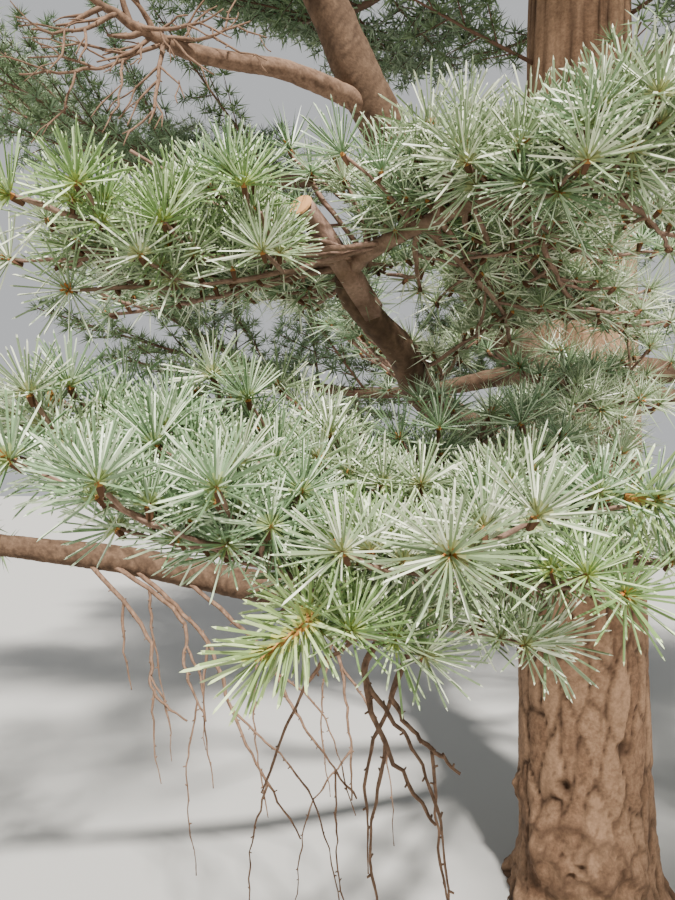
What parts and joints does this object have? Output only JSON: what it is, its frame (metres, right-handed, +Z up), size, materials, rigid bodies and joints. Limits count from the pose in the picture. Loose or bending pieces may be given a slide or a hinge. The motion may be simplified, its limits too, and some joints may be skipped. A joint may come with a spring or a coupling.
{
  "type": "cedar tree",
  "caption": "Young open-grown cedar with blue-grey tufted needles: a whole trunk, tiers of rising boughs and flat sprays of foliage, rooted in level ground.",
  "frame": {"origin": "middle of the trunk's flat cut at ground level", "axes": "+Z up along the trunk; -Y is the side that the picture was taken from"},
  "size_m": [4.6728, 4.8441, 8.2],
  "materials": {
    "trunk_bark": "rough plates of tan-brown bark",
    "bough_bark": "rough young bark",
    "dead_wood": "dry, dull",
    "needles": "waxy, half matte"
  },
  "bodies": {
    "root": {"bough_1_1": "bough_bark", "bough_1_2": "bough_bark", "bough_1_3": "bough_bark", "bough_1_4": "bough_bark", "bough_2_1": "bough_bark", "bough_2_2": "bough_bark", "bough_2_3": "bough_bark", "bough_2_4": "bough_bark", "bough_3_1": "bough_bark", "bough_3_2": "bough_bark", "bough_3_3": "bough_bark", "bough_3_4": "bough_bark", "bough_bare": "dead_wood", "bough_front": "bough_bark", "bough_low": "bough_bark", "bough_steep": "bough_bark", "bough_upper": "bough_bark", "foliage_1_1": "needles", "foliage_1_2": "needles", "foliage_1_3": "needles", "foliage_1_4": "needles", "foliage_2_1": "needles", "foliage_2_2": "needles", "foliage_2_3": "needles", "foliage_2_4": "needles", "foliage_3_1": "needles", "foliage_3_2": "needles", "foliage_3_3": "needles", "foliage_3_4": "needles", "foliage_4_1": "needles", "foliage_4_2": "needles", "foliage_4_3": "needles", "foliage_4_4": "needles", "foliage_5_1": "needles", "foliage_5_2": "needles", "foliage_5_3": "needles", "foliage_5_4": "needles", "foliage_6_1": "needles", "foliage_6_2": "needles", "foliage_6_3": "needles", "foliage_6_4": "needles", "foliage_7_1": "needles", "foliage_7_2": "needles", "foliage_7_3": "needles", "foliage_8_1": "needles", "foliage_8_2": "needles", "foliage_8_3": "needles", "foliage_9_1": "needles", "foliage_9_2": "needles", "foliage_9_3": "needles", "foliage_front": "needles", "foliage_leader": "needles", "foliage_low": "needles", "foliage_steep": "needles", "foliage_upper": "needles", "trunk": "trunk_bark", "twigs_bare": "dead_wood", "twigs_under_front": "dead_wood", "twigs_under_low": "dead_wood"}
  },
  "joints": []
}
